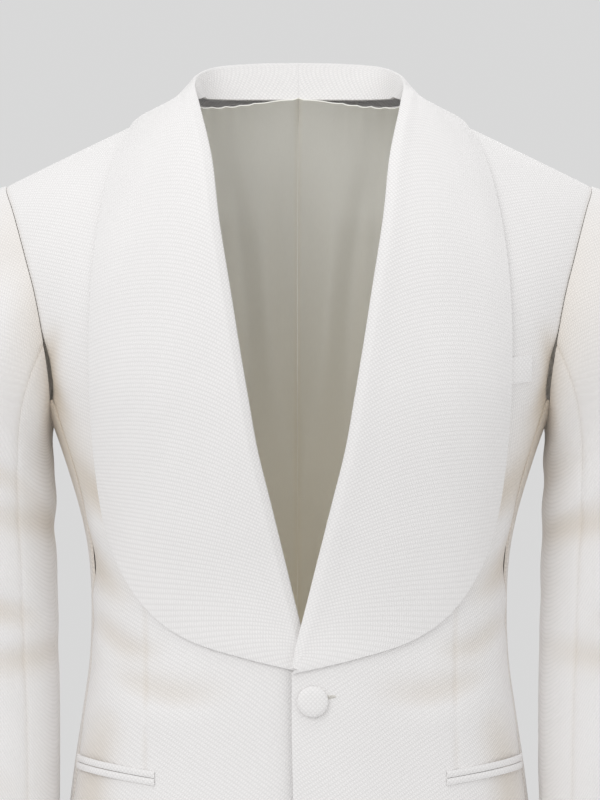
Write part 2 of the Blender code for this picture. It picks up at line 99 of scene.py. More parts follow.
# The lapel: roll line x and z, outer edge x and z, from the button to the shoulder
LAPEL = np.array([
    (-0.0072, -0.4495, -0.0068, -0.4540),
    (-0.0030, -0.4300, 0.0400, -0.4430),
    (0.0045, -0.4000, 0.0850, -0.4290),
    (0.0130, -0.3650, 0.1160, -0.4080),
    (0.0237, -0.3215, 0.1390, -0.3750),
    (0.0340, -0.2800, 0.1530, -0.3340),
    (0.0410, -0.2410, 0.1610, -0.2750),
    (0.0480, -0.2000, 0.1640, -0.2150),
    (0.0550, -0.1560, 0.1630, -0.1550),
    (0.0640, -0.1000, 0.1570, -0.1000),
    (0.0700, -0.0500, 0.1460, -0.0520),
    (0.0800, -0.0060, 0.1310, -0.0192),
])

# The collar behind the shoulder: the stand's foot, the fold, the fall's edge x and z
COLLAR = [
    ((0.0780, 0.012, 0.0032), (0.0850, 0.010, 0.0160), (0.1190, -0.0235)),
    ((0.0730, 0.029, 0.0036), (0.0805, 0.031, 0.0245), (0.1000, -0.0260)),
    ((0.0580, 0.045, 0.0042), (0.0660, 0.054, 0.0315), (0.0740, -0.0230)),
    ((0.0310, 0.055, 0.0048), (0.0360, 0.067, 0.0350), (0.0380, -0.0180)),
    ((0.0000, 0.058, 0.0050), (0.0000, 0.071, 0.0360), (0.0000, -0.0160)),
]

# Across the shawl's fold: distance from the roll line and lift off the front
FOLD = [(0.0160, -0.0048), (0.0056, -0.0046), (-0.0005, 0.0000), (0.0056, 0.0048)]
FALL_STEPS = 7
FALL_LIFT = 0.0044
EDGE_LIFT = 0.0034
FLAT_LIFT = 0.0028
FLAT_TUCK = -0.0040

# The sleeve's rings: height, inner x, half width, half depth, centre y
RINGS = np.array([
    (-0.300, 0.1965, 0.0580, 0.0670, 0.000),
    (-0.360, 0.1950, 0.0560, 0.0620, -0.002),
    (-0.420, 0.1935, 0.0540, 0.0580, -0.006),
    (-0.480, 0.1920, 0.0520, 0.0540, -0.013),
    (-0.540, 0.1915, 0.0500, 0.0505, -0.022),
    (-0.600, 0.1915, 0.0480, 0.0475, -0.031),
    (-0.660, 0.1915, 0.0465, 0.0450, -0.039),
    (-0.690, 0.1915, 0.0460, 0.0440, -0.043),
])
CAP_HANDLE = 0.42
SLEEVE_SEAMS = (radians(122), radians(238))

# The front edge below the lapel: height, x of the left front, x of the right front
FRONT_EDGE = np.array([
    (-0.4540, -0.0072, -0.0072),
    (-0.5000, -0.0072, -0.0200),
    (-0.5570, -0.0060, -0.0180),
    (-0.6000, -0.0010, -0.0100),
    (-0.6400, 0.0100, 0.0040),
    (-0.6700, 0.0250, 0.0210),
    (-0.6950, 0.0460, 0.0430),
    (-0.7120, 0.0720, 0.0700),
    (-0.7200, 0.0980, 0.0970),
])
PANEL_SETBACK = 0.0045
CENTRE_TURN = 0.00005
FULL_SHADE = 0.0042
CREASE_SCALE = 1.5

# Creases on the body: start x, start z, end x, end z, width, depth, on the front or back
BODY_CREASES = [
    (0.176, -0.290, 0.120, -0.345, 0.011, 0.0016, "front"),
    (0.180, -0.320, 0.140, -0.400, 0.012, 0.0018, "front"),
    (0.165, -0.410, 0.110, -0.440, 0.010, 0.0010, "front"),
    (0.160, -0.440, 0.060, -0.470, 0.013, 0.0009, "front"),
    (0.196, -0.185, 0.186, -0.260, 0.009, 0.0022, "front"),
    (0.150, -0.480, 0.148, -0.640, 0.016, 0.0016, "front"),
    (0.205, -0.120, 0.190, -0.250, 0.012, 0.0030, "back"),
    (0.150, -0.280, 0.110, -0.380, 0.014, 0.0020, "back"),
    (0.100, -0.070, 0.030, -0.095, 0.012, 0.0012, "back"),
    (0.150, -0.410, 0.070, -0.420, 0.013, 0.0014, "back"),
    (0.140, -0.500, 0.130, -0.680, 0.018, 0.0018, "back"),
]

# Creases round a sleeve: turn, start height, end height, slant, width, depth
SLEEVE_CREASES = [
    (0.9, -0.130, -0.260, 0.30, 0.012, 0.0022),
    (1.7, -0.280, -0.330, 0.90, 0.012, 0.0016),
    (2.4, -0.330, -0.350, 1.20, 0.013, 0.0020),
    (1.4, -0.395, -0.420, 0.90, 0.014, 0.0022),
    (1.9, -0.450, -0.440, 1.00, 0.013, 0.0018),
    (0.6, -0.520, -0.545, 0.80, 0.016, 0.0013),
    (4.0, -0.300, -0.330, 1.00, 0.014, 0.0018),
    (4.6, -0.400, -0.430, 1.00, 0.013, 0.0020),
    (4.3, -0.560, -0.590, 0.80, 0.015, 0.0012),
    (5.4, -0.150, -0.270, 0.30, 0.013, 0.0020),
]


def through(rows, place):
    """Read a smooth curve through rows at places counted in rows."""
    rows = np.asarray(rows, float)
    place = np.asarray(place, float)
    padded = np.concatenate([[2 * rows[0] - rows[1]], rows, [2 * rows[-1] - rows[-2]]])
    low = np.clip(np.floor(place).astype(int), 0, len(rows) - 2)
    t = (place - low)[..., None]
    before, one, two, after = (padded[low + k] for k in range(4))
    return ((2 * t**3 - 3 * t**2 + 1) * one + (t**3 - 2 * t**2 + t) * (two - before) / 2
            + (3 * t**2 - 2 * t**3) * two + (t**3 - t**2) * (after - one) / 2)


def ease(value, start, end):
    """Go smoothly from 0 at start to 1 at end."""
    t = np.clip((np.asarray(value, float) - start) / (end - start), 0, 1)
    return t * t * (3 - 2 * t)


def solve(function, low, high, target):
    """Find where a falling or rising function meets each target."""
    target = np.asarray(target, float)
    low = np.full(target.shape, float(low))
    high = np.full(target.shape, float(high))
    rising = function(high) > function(low)
    for _ in range(SOLVE_STEPS):
        middle = (low + high) / 2
        beyond = (function(middle) < target) == rising
        low = np.where(beyond, middle, low)
        high = np.where(beyond, high, middle)
    return (low + high) / 2


OVER = LEVELS[1] * np.array([1, 1, 1, -1, -1, 1])
LEVEL_ROWS = np.concatenate([[OVER], LEVELS])


def level_at(place):
    """Give the form's six sizes at each level."""
    return np.moveaxis(through(LEVEL_ROWS, np.abs(place) + 1), -1, 0)


def crown(x):
    """Give the shoulder line's height at x."""
    return -SHOULDER_SLOPE * (np.hypot(x, NECK_ROUND) - hypot(NECK_HALF, NECK_ROUND))


def power(value):
    """Square a sine or cosine off."""
    return np.sign(value) * np.abs(value) ** SQUARENESS


def body_point(angle, place):
    """Give points of the body form: angle 0 at the front, pi at the back."""
    angle, place = np.broadcast_arrays(angle, place)
    drop, tilt, half, front, back, _ = level_at(place)
    x = half * power(np.sin(angle))
    depth = np.where(np.cos(angle) > 0, front, back)
    y = -depth * power(np.cos(angle)) * np.where(place >= 0, 1, -1)
    return np.stack([x, y, drop + tilt * crown(x)], axis=-1)


def body_normal(angle, place):
    """Give directions out of the body form."""
    step = 0.004
    around = body_point(angle + step, place) - body_point(angle - step, place)
    down = body_point(angle, place + step) - body_point(angle, place - step)
    normal = np.cross(down, around)
    return normal / np.linalg.norm(normal, axis=-1, keepdims=True)


def angle_of(x, place):
    """Give the front angle at which the form reaches x."""
    ratio = np.minimum(np.abs(x) / level_at(place)[2], 1.0)
    return np.arcsin(ratio ** (1 / SQUARENESS)) * np.where(np.asarray(x) >= 0, 1, -1)


def place_of(x, z):
    """Give the level at which the form reaches the height z at x."""
    def height(place):
        level = level_at(place)
        return level[0] + level[1] * crown(x)
    return solve(height, 0.0, HEM_LEVEL + 0.5, z)


def on_form(x, z, lift, back=False):
    """Give points of the front or back at x and z, moved out by lift."""
    place = place_of(x, z)
    angle = angle_of(x, place)
    angle = pi - angle if back else angle
    return body_point(angle, place) + np.asarray(lift)[..., None] * body_normal(angle, place)


def arm_angle(place):
    """Give the angle of the armhole's front edge at a level."""
    level = level_at(place)
    return np.arcsin(np.minimum(level[5] / level[2], 1.0) ** (1 / SQUARENESS))


def seam_angle(seam, place):
    """Give the angle of a side seam at a level."""
    return seam[0] + (seam[1] - seam[0]) * ease(place, UNDERARM_LEVEL, WAIST_LEVEL)


def armhole_level(angle):
    """Give the level of the armhole's lower edge at an angle beside the arm."""
    target = np.minimum(angle, pi - np.asarray(angle))
    return solve(arm_angle, UNDERARM_LEVEL - 1.2, UNDERARM_LEVEL, target)


SEAM_TURN = SEAM_GAP / 2 / LEVELS[8, 2]
SLEEVE_GAP = 0.0003
COLLAR_SEAM = 0.00004
SLEEVE_RADIUS = 0.055
FRONT_TOP = float(armhole_level(SIDE_SEAM[0]))
BACK_TOP = float(armhole_level(BACK_SEAM[0]))
RIDGE_LEVEL = 0.006


def lap_lift(x, side):
    """Give how far the left front stands off the right one near the centre."""
    if side < 0:
        return np.zeros_like(x)
    return FRONT_LAP * (1 - ease(x, LAP_FULL_X, LAP_END_X))


def crease_depth(points, face):
    """Add up the soft troughs that cross each point of the front or the back."""
    total = np.zeros(points.shape[:-1])
    for x0, z0, x1, z1, width, depth, on in BODY_CREASES:
        if on != face:
            continue
        along = np.array([x1 - x0, z1 - z0])
        length = np.linalg.norm(along)
        along = along / length
        off = np.stack([np.abs(points[..., 0]) - x0, points[..., 2] - z0], axis=-1)
        far = off @ along / length
        bend = 0.12 * length * np.sin(pi * np.clip(far, 0, 1))
        away = off @ np.array([-along[1], along[0]]) - bend
        fade = ease(far, -0.15, 0.35) * (1 - ease(far, 0.6, 1.15))
        trough = np.exp(-(away / width) ** 2)
        ridge = 0.55 * np.exp(-((away - 1.7 * width) / width) ** 2)
        total += CREASE_SCALE * depth * fade * (trough - ridge)
    return total


def grid_normals(points):
    """Give outward directions of a grid whose rows run down and columns run round."""
    down = np.gradient(points, axis=0)
    around = np.gradient(points, axis=1)
    normal = np.cross(down, around)
    length = np.linalg.norm(normal, axis=-1, keepdims=True)
    return normal / np.maximum(length, 1e-12)


def close_spacing(count, fine=(0.0, 0.006, 0.014, 0.026, 0.042)):
    """Divide a stretch evenly, with finer steps at both ends."""
    middle = np.linspace(0.06, 0.94, count)
    return np.concatenate([fine, middle, 1 - np.array(fine[::-1])])


def seam_dips(points, sides):
    """Sink a grid's borders a little where they are seamed to the next piece."""
    total = np.zeros(points.shape[:2])
    across = np.linalg.norm(np.diff(points, axis=1), axis=-1)
    from_left = np.concatenate([np.zeros((len(points), 1)), np.cumsum(across, axis=1)], axis=1)
    down = np.linalg.norm(np.diff(points, axis=0), axis=-1)
    from_top = np.concatenate([np.zeros((1, points.shape[1])), np.cumsum(down, axis=0)], axis=0)
    distances = {
        "left": from_left,
        "right": from_left[:, -1:] - from_left,
        "top": from_top,
        "bottom": from_top[-1:] - from_top,
    }
    for side in sides:
        total += SEAM_DIP * np.exp(-(distances[side] / SEAM_WIDTH) ** 2)
    return total


def wall_piece(name, points, normals, thickness, material, nodes, mirrored=False,
               shade=None):
    points = np.array(points)
    normals = np.array(normals)
    if mirrored:
        points[..., 0] *= -1
        normals[..., 0] *= -1
    inner = points - thickness * normals
    rows, columns = points.shape[:2]
    index = np.arange(rows * columns).reshape(rows, columns)
    quads = np.stack([index[:-1, :-1], index[1:, :-1], index[1:, 1:], index[:-1, 1:]], -1)
    outer_faces = quads.reshape(-1, 4)
    inner_faces = outer_faces[:, ::-1] + rows * columns
    loop = np.concatenate([index[0, :-1], index[:-1, -1], index[-1, :0:-1], index[:0:-1, 0]])
    following = np.roll(loop, -1)
    shift = rows * columns
    rim = np.stack([loop, following, following + shift, loop + shift], -1)
    faces = np.concatenate([outer_faces, inner_faces, rim])
    if mirrored:
        faces = faces[:, ::-1]
    mesh = bpy.data.meshes.new(name + "_cloth")
    mesh.from_pydata(np.concatenate([points.reshape(-1, 3), inner.reshape(-1, 3)]).tolist(),
                     [], faces.tolist())
    across = np.linalg.norm(np.diff(points, axis=1), axis=-1)
    down = np.linalg.norm(np.diff(points, axis=0), axis=-1)
    middle_u = np.cumsum(np.concatenate([np.zeros((rows, 1)), across], axis=1), axis=1)
    middle_u -= middle_u[:, columns // 2][:, None]
    centre_v = np.cumsum(np.concatenate([np.zeros((1, columns)), down], axis=0), axis=0)
    place = np.stack([middle_u, -centre_v], -1).reshape(-1, 2)
    place = np.concatenate([place, place])
    loops = np.empty(len(mesh.loops), dtype=np.int32)
    mesh.loops.foreach_get("vertex_index", loops)
    mesh.uv_layers.new(name="cloth").data.foreach_set(
        "uv", place[loops].astype(np.float32).ravel())
    # The shade values are painted shade: a point attribute that darkens and warms the cloth's colour.
    depth = np.zeros((rows, columns)) if shade is None else np.clip(shade, 0.0, 1.0)
    painted_shade = mesh.attributes.new("painted_shade", "FLOAT", "POINT")
    painted_shade.data.foreach_set("value", np.tile(depth.ravel(), 2).astype(np.float32))
    mesh.shade_smooth()
    mesh.set_sharp_from_angle(angle=radians(60))
    mesh.materials.append(material)
    piece = bpy.data.objects.new(name + "_cloth", mesh)
    bpy.context.collection.objects.link(piece)
    turned = bmesh.new()
    turned.from_mesh(mesh)
    bmesh.ops.recalc_face_normals(turned, faces=turned.faces)
    turned.to_mesh(mesh)
    turned.free()
    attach(piece, BODY)
    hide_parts(*nodes)
    return piece


def new_material(name):
    """Make a node material and give it with its tree and shader."""
    material = bpy.data.materials.new(name)
    material.use_nodes = True
    return material, material.node_tree, material.node_tree.nodes["Principled BSDF"]


def maths(tree, kind, first, second=0.0):
    """Add a Math node fed by sockets or numbers."""
    node = tree.nodes.new("ShaderNodeMath")
    node.operation = kind
    for socket, value in zip(node.inputs, (first, second)):
        if isinstance(value, (int, float)):
            socket.default_value = value
        else:
            tree.links.new(value, socket)
    return node.outputs[0]


def noise(tree, coordinate, scale, detail):
    """Add a noise texture on a coordinate."""
    node = tree.nodes.new("ShaderNodeTexNoise")
    node.inputs["Scale"].default_value = scale
    node.inputs["Detail"].default_value = detail
    tree.links.new(coordinate, node.inputs["Vector"])
    return node.outputs["Fac"]


def bump(tree, height, strength, distance, before=None):
    """Add a Bump node."""
    node = tree.nodes.new("ShaderNodeBump")
    node.inputs["Strength"].default_value = strength
    node.inputs["Distance"].default_value = distance
    tree.links.new(height, node.inputs["Height"])
    if before:
        tree.links.new(before, node.inputs["Normal"])
    return node.outputs["Normal"]


def paint_shade_in_hollows(tree, colour, shade_tint, strength):
    """Paint shade into a colour: darken and warm it by the cloth's point attribute of painted shade.
    """
    attribute = tree.nodes.new("ShaderNodeAttribute")
    attribute.attribute_name = "painted_shade"
    mix = tree.nodes.new("ShaderNodeMix")
    mix.data_type = "RGBA"
    mix.blend_type = "MULTIPLY"
    tree.links.new(maths(tree, "MULTIPLY", attribute.outputs["Fac"], strength), mix.inputs[0])
    tree.links.new(colour, mix.inputs[6])
    mix.inputs[7].default_value = (*shade_tint, 1)
    return mix.outputs[2]


def birdseye_cloth(name, sizes):
    """Make ivory birdseye: small raised diamonds in staggered rows over fine threads."""
    material, tree, shader = new_material(name)
    place = tree.nodes.new("ShaderNodeTexCoord").outputs["UV"]
    split = tree.nodes.new("ShaderNodeSeparateXYZ")
    tree.links.new(place, split.inputs[0])
    turn = pi / sizes.weave_pitch
    u = maths(tree, "MULTIPLY", split.outputs[0], turn)
    v = maths(tree, "MULTIPLY", split.outputs[1], turn)
    one = maths(tree, "ABSOLUTE", maths(tree, "SINE", maths(tree, "ADD", u, v)))
    two = maths(tree, "ABSOLUTE", maths(tree, "SINE", maths(tree, "SUBTRACT", u, v)))
    diamond = maths(tree, "MULTIPLY", one, two)
    grain = noise(tree, place, 900.0, 2.0)
    patch = noise(tree, place, 14.0, 3.0)
    height = maths(tree, "ADD", diamond, maths(tree, "MULTIPLY", grain, 0.35))
    mix = tree.nodes.new("ShaderNodeMix")
    mix.data_type = "RGBA"
    shade = maths(tree, "ADD", maths(tree, "MULTIPLY", diamond, 0.75),
                  maths(tree, "MULTIPLY", patch, 0.35))
    tree.links.new(shade, mix.inputs[0])
    colour = np.array(sizes.ivory)
    mix.inputs[6].default_value = (*(colour * 0.90), 1)
    mix.inputs[7].default_value = (*np.minimum(colour * 1.05, 1.0), 1)
    # Painted shade: creases, seams and the underarm are tinted a darker warm tan.
    painted_shade_colour = paint_shade_in_hollows(tree, mix.outputs[2], (0.74, 0.64, 0.50), 0.8)
    tree.links.new(painted_shade_colour, shader.inputs["Base Color"])
    tree.links.new(bump(tree, height, 0.5, 0.0005), shader.inputs["Normal"])
    rough = maths(tree, "SUBTRACT", 0.72, maths(tree, "MULTIPLY", diamond, 0.18))
    tree.links.new(rough, shader.inputs["Roughness"])
    shader.inputs["Sheen Weight"].default_value = 0.12
    shader.inputs["Sheen Roughness"].default_value = 0.5
    shader.inputs["Specular IOR Level"].default_value = 0.35
    return material


def satin(name, colour):
    """Make a cream satin with long soft threads."""
    material, tree, shader = new_material(name)
    place = tree.nodes.new("ShaderNodeTexCoord").outputs["UV"]
    mapping = tree.nodes.new("ShaderNodeMapping")
    mapping.inputs["Scale"].default_value = (1.0, 0.06, 1.0)
    tree.links.new(place, mapping.inputs["Vector"])
    threads = noise(tree, mapping.outputs[0], 2200.0, 2.0)
    waves = noise(tree, mapping.outputs[0], 40.0, 2.0)
    normal = bump(tree, waves, 0.25, 0.0012)
    tree.links.new(bump(tree, threads, 0.12, 0.0002, normal), shader.inputs["Normal"])
    mix = tree.nodes.new("ShaderNodeMix")
    mix.data_type = "RGBA"
    tree.links.new(threads, mix.inputs[0])
    mix.inputs[6].default_value = (*(np.array(colour) * 0.95), 1)
    mix.inputs[7].default_value = (*np.minimum(np.array(colour) * 1.04, 1.0), 1)
    # Painted shade: fold troughs and the lower lining are tinted darker and warmer.
    painted_shade_colour = paint_shade_in_hollows(tree, mix.outputs[2], (0.90, 0.80, 0.62), 0.7)
    tree.links.new(painted_shade_colour, shader.inputs["Base Color"])
    shader.inputs["Roughness"].default_value = 0.38
    shader.inputs["Sheen Weight"].default_value = 0.15
    return material


def material_named(name, make):
    """Give a finish, made once. Its name differs from the frame's own plain materials."""
    return bpy.data.materials.get(name) or make(name)


def ivory(sizes):
    """Give the jacket's cloth."""
    return material_named("ivory_birdseye_finish", lambda name: birdseye_cloth(name, sizes))


def roll_at(z):
    """Give the roll line's x at a height."""
    order = np.argsort(LAPEL[:, 1])
    return np.interp(z, LAPEL[order, 1], LAPEL[order, 0])


def front_edge(place, side):
    """Give the x of a front's inner edge at each level."""
    column = 1 if side > 0 else 2
    x = np.full(np.shape(place), 0.03)
    for _ in range(12):
        level = level_at(place)
        z = level[0] + level[1] * crown(x)
        below = np.interp(z, FRONT_EDGE[::-1, 0], FRONT_EDGE[::-1, column])
        above = roll_at(z) + PANEL_SETBACK * ease(z, -0.4540, -0.4470) + 0.007 * ease(z, -0.03, 0.0)
        x = np.where(z < FRONT_EDGE[0, 0], below, above)
    return x


def body_rows(top, count_top, count_low):
    """Space a panel's rows: closer at the shoulder, the armhole's foot and the hem."""
    armhole = top * (1 - np.cos(np.linspace(0, pi, count_top))) / 2
    armhole[0] = RIDGE_LEVEL
    below = np.linspace(top, 17.2, count_low)[1:]
    hem = np.linspace(17.2, HEM_LEVEL, 26)[1:]
    return np.concatenate([armhole, below, hem])


def make_front(side, name, sizes):
    """Make a front with its dart, creases and rounded quarter."""
    rows = body_rows(FRONT_TOP, 60, 130)
    inner = angle_of(front_edge(rows, side), rows)
    outer = np.where(rows < FRONT_TOP, arm_angle(rows), seam_angle(SIDE_SEAM, rows) - SEAM_TURN)
    across = close_spacing(90)
    angle = inner[:, None] + (outer - inner)[:, None] * across[None, :]
    place = np.repeat(rows[:, None], len(across), axis=1)
    points = body_point(angle, place)
    normals = body_normal(angle, place)
    dips = seam_dips(points, ("right", "top")) + crease_depth(points, "front")
    dart = sizes.dart_depth * np.exp(-((points[..., 0] - sizes.dart_x) / 0.0022) ** 2)
    dips += dart * ease(points[..., 2], -0.545, -0.520) * (1 - ease(points[..., 2], -0.43, -0.36))
    lift = lap_lift(points[..., 0], side) - dips
    # Painted shade: the armhole's foot is darkened towards the side seam, and the crease, seam and
    # dart dips are darkened too.
    underarm_shade = 0.8 * np.exp(-((points[..., 2] + 0.275) / 0.05) ** 2) * across[None, :] ** 6
    points = points + lift[..., None] * normals
    return wall_piece(name, points, normals, SHELL_WALL, ivory(sizes),
                      [name], side < 0, dips / FULL_SHADE + underarm_shade)


def make_side(side, name, sizes):
    """Make a side body between its two seams."""
    across = close_spacing(24)
    tops = armhole_level(SIDE_SEAM[0] + (BACK_SEAM[0] - SIDE_SEAM[0]) * across)
    down = np.linspace(0, 1, 130)
    place = tops[None, :] + (HEM_LEVEL - tops)[None, :] * down[:, None]
    start = seam_angle(SIDE_SEAM, place) + SEAM_TURN
    end = seam_angle(BACK_SEAM, place) - SEAM_TURN
    angle = start + (end - start) * across[None, :]
    points = body_point(angle, place)
    normals = body_normal(angle, place)
    dips = seam_dips(points, ("left", "right"))
    points = points - dips[..., None] * normals
    # Painted shade: the whole side body is darkened a little, more near the armhole, and in its seam
    # dips.
    painted_shade = 0.25 + 0.7 * np.exp(-(down[:, None] / 0.22) ** 2) + dips / FULL_SHADE
    return wall_piece(name, points, normals, SHELL_WALL, ivory(sizes),
                      [name], side < 0, painted_shade)


def back_grid(outer_edge, low_level, top_shift, count):
    """Lay a grid from the centre back to an outer edge, below the neck and shoulder."""
    corner = float(angle_of(NECK_HALF, 0.0) / angle_of(LEVELS[0, 5], 0.0))
    across = close_spacing(count)
    neck = NECK_TOP_LEVEL * np.sqrt(1 - np.minimum(across / corner, 1.0) ** 2)
    top = np.maximum(neck + top_shift, RIDGE_LEVEL + abs(top_shift) / 3)
    top = np.where(top_shift == 0.0, np.maximum(neck, RIDGE_LEVEL), top)
    down = body_rows(BACK_TOP, 50, 110)
    down = (down - RIDGE_LEVEL) / (HEM_LEVEL - RIDGE_LEVEL)
    place = top[None, :] + (low_level - top)[None, :] * down[:, None]
    outer = outer_edge(place)
    angle = pi - CENTRE_TURN + (outer - pi + CENTRE_TURN) * across[None, :]
    return angle, place


def back_outer(place):
    """Give the angle of a back's outer edge."""
    low = seam_angle(BACK_SEAM, place) + SEAM_TURN
    return np.where(place < BACK_TOP, pi - arm_angle(place), low)


def lining_outer(place):
    """Give the angle of a lining's outer edge."""
    turn = ease(place, UNDERARM_LEVEL, UNDERARM_LEVEL + 1)
    low = pi / 2 + (seam_angle(SIDE_SEAM, place) - pi / 2) * turn
    return np.where(place < UNDERARM_LEVEL, pi - arm_angle(place), low)


def make_back(side, name, sizes):
    """Make half of the back."""
    angle, place = back_grid(back_outer, HEM_LEVEL, 0.0, 70)
    points = body_point(angle, place)
    normals = body_normal(angle, place)
    dips = seam_dips(points, ("left", "right", "top")) + crease_depth(points, "back")
    points = points - dips[..., None] * normals
    # Painted shade in the crease and seam dips.
    return wall_piece(name, points, normals, SHELL_WALL, ivory(sizes),
                      [name], side < 0, dips / FULL_SHADE)


def make_lining(side, name, sizes):
    """Make half of the satin lining, with soft folds that hang from the neck."""
    angle, place = back_grid(lining_outer, HEM_LEVEL - 0.4, -0.26, 80)
    points = body_point(angle, place)
    normals = body_normal(angle, place)
    away = points[..., 0]
    fall = ease(-points[..., 2], -0.02, 0.10)
    low = ease(-points[..., 2], 0.0, 0.45)
    waves = 0.0013 * np.sin(away * 95 + 3.0 * points[..., 2]) * fall
    waves += 0.0042 * np.exp(-((away - 0.052 - 0.16 * points[..., 2]) / 0.013) ** 2) * fall
    waves += 0.0030 * np.exp(-((away - 0.086 - 0.05 * points[..., 2]) / 0.012) ** 2) * fall
    waves += 0.0022 * np.exp(-((away - 0.026) / 0.009) ** 2) * fall * (1 - low)
    tucks = 0.0014 * np.abs(np.sin(away * 260)) * np.exp(-((points[..., 2]) / 0.022) ** 2)
    seam = 0.0008 * np.exp(-(away / 0.0016) ** 2)
    depth = LINING_DEPTH + np.abs(waves) + tucks - seam
    depth += np.maximum(crease_depth(points, "back"), 0.0)
    # Painted shade: darker towards the hem, along the centre seam and in the fold troughs.
    painted_shade = 0.75 * low + 0.25 * np.exp(-(away / 0.0016) ** 2) + 40 * np.maximum(-waves, 0)
    points = points - depth[..., None] * normals
    cloth = material_named("lining_satin_finish", lambda made: satin(made, sizes.satin_colour))
    return wall_piece(name, points, normals, LINING_WALL, cloth, [name], side < 0,
                      painted_shade)


def lapel_grid(stations, columns, side):
    """Give the lapel's points at stations along it and columns across it."""
    station, column = np.meshgrid(stations, columns, indexing="ij")
    row = through(LAPEL, station)
    roll_x, roll_z, edge_x, edge_z = np.moveaxis(row, -1, 0)
    flatness = ease(station, 0.0, 4.0)
    full = [(shift, 0.0, lift) for shift, lift in FOLD]
    flat = [(shift, 0.0, min(max(lift, FLAT_TUCK), FLAT_LIFT)) for shift, lift in FOLD]
    for k in range(1, FALL_STEPS + 1):
        far = k / FALL_STEPS
        low = EDGE_LIFT if k == FALL_STEPS else FALL_LIFT
        full.append((FOLD[-1][0] * (1 - far), far, low))
        flat.append((FOLD[-1][0] * (1 - far), far, FLAT_LIFT))
    over = through(np.array(full), column)
    under = through(np.array(flat), column)
    shift, far, lift = np.moveaxis(under + (over - under) * flatness[..., None], -1, 0)
    width = np.hypot(edge_x - roll_x, edge_z - roll_z)
    shift = shift * np.clip(width / 0.030, 0.5, 1.0)
    far = np.clip(far, 0.0, 1.0)
    x = roll_x + shift + (edge_x - roll_x) * far
    z = roll_z + (edge_z - roll_z) * far
    swell = 0.0016 * np.sin(pi * far) * ease(station, 1.0, 5.0)
    ripple = 0.0005 * np.sin(station * 2.1 + side) * np.sin(pi * far)
    return on_form(x, z, lift + swell + ripple + lap_lift(x, side))


def back_height(x, y):
    """Give the height of the back or shoulder at a point behind the ridge."""
    def depth(place):
        return level_at(place)[4] * power(np.cos(angle_of(x, place)))
    place = solve(depth, 0.0, UNDERARM_LEVEL - 2, y)
    level = level_at(place)
    return level[0] + level[1] * crown(x)


def collar_row(foot, fold, edge, columns):
    """Give the collar's cross-section behind the shoulder seam."""
    foot, fold = np.array(foot), np.array(fold)
    end = on_form(np.array(edge[0]), np.array(edge[1]), np.array(FALL_LIFT), back=True)
    outward = np.array([end[0] - foot[0], end[1] - foot[1], 0.0])
    outward /= np.linalg.norm(outward)
    shoulder = fold + outward * 0.0062 - np.array([0.0, 0.0, 0.0040])
    knots = [foot, foot + (fold - foot) * 0.78 - outward * 0.0010, fold]
    for k in range(FALL_STEPS + 1):
        far = k / FALL_STEPS
        point = shoulder + (end - shoulder) * far + outward * 0.004 * sin(pi * far)
        top = back_height(np.array(point[0]), np.array(point[1]))
        point[2] = max(point[2], float(top) + FALL_LIFT)
        knots.append(point)
    return through(np.array(knots), columns)


def make_shawl(side, name, sizes):
    """Make half of the shawl: lapel, stand and fall in one wall."""
    last = len(LAPEL) - 1
    columns = np.concatenate([np.linspace(0, 4, 40), np.linspace(4, 10, 50)[1:-1],
                              [9.93, 9.97, 10.0]])
    front_stations = np.concatenate([np.linspace(0, 9, 160), np.linspace(9, last, 70)[1:]])
    lapel = lapel_grid(front_stations, columns, side)
    keys = [lapel_grid(np.array([last - 1.0]), columns, side)[0], lapel[-1]]
    keys += [collar_row(*row, columns) for row in COLLAR]
    keys.append(keys[-2] * np.array([-1.0, 1.0, 1.0]))
    keys = np.array(keys)
    behind = np.linspace(1, len(COLLAR) + 1, 90)[1:]
    flat_keys = keys.reshape(len(keys), -1)
    collar = through(flat_keys, behind).reshape(len(behind), len(columns), 3)
    collar[-1, :, 0] += COLLAR_SEAM
    points = np.concatenate([lapel, collar])
    normals = -grid_normals(points)
    return wall_piece(name, points, normals, SHAWL_WALL, ivory(sizes),
                      [name], side < 0)


def armhole_point(turn):
    """Give points of the armhole: turn 0 at the shoulder, a quarter at the front."""
    place = UNDERARM_LEVEL * (1 - np.cos(turn)) / 2
    angle = arm_angle(place)
    return body_point(np.where(np.mod(turn, 2 * pi) <= pi, angle, pi - angle), place)


def ring_point(turn, place):
    """Give points of the sleeve below its cap."""
    height, inner, half_width, half_depth, centre_y = np.moveaxis(through(RINGS, place), -1, 0)
    x = inner + half_width * (1 + np.cos(turn))
    return np.stack([x, centre_y - half_depth * np.sin(turn), height], axis=-1)


def sleeve_point(turn, place):
    """Give points of the sleeve: place 0 at the armhole, 1 at the first ring."""
    start = armhole_point(turn)
    end = ring_point(turn, np.zeros_like(turn))
    reach = CAP_HANDLE * np.linalg.norm(end - start, axis=-1, keepdims=True)
    upper = ((1 + np.cos(turn)) / 2)[..., None]
    lead = upper * np.array([1.0, 0.0, -0.42]) + (1 - upper) * np.array([0.20, 0.0, -0.95])
    lead[..., 1] = -0.35 * np.sin(turn)
    lead /= np.linalg.norm(lead, axis=-1, keepdims=True)
    start = start + lead * SLEEVE_GAP
    fall = np.array([0.0, 0.0, -1.0]) * reach
    t = np.clip(place, 0, 1)[..., None]
    cap = ((1 - t) ** 3 * start + 3 * (1 - t) ** 2 * t * (start + lead * reach)
           + 3 * (1 - t) * t**2 * (end - fall) + t**3 * end)
    below = ring_point(turn, np.maximum(place - 1, 0))
    return np.where((place >= 1)[..., None], below, cap)


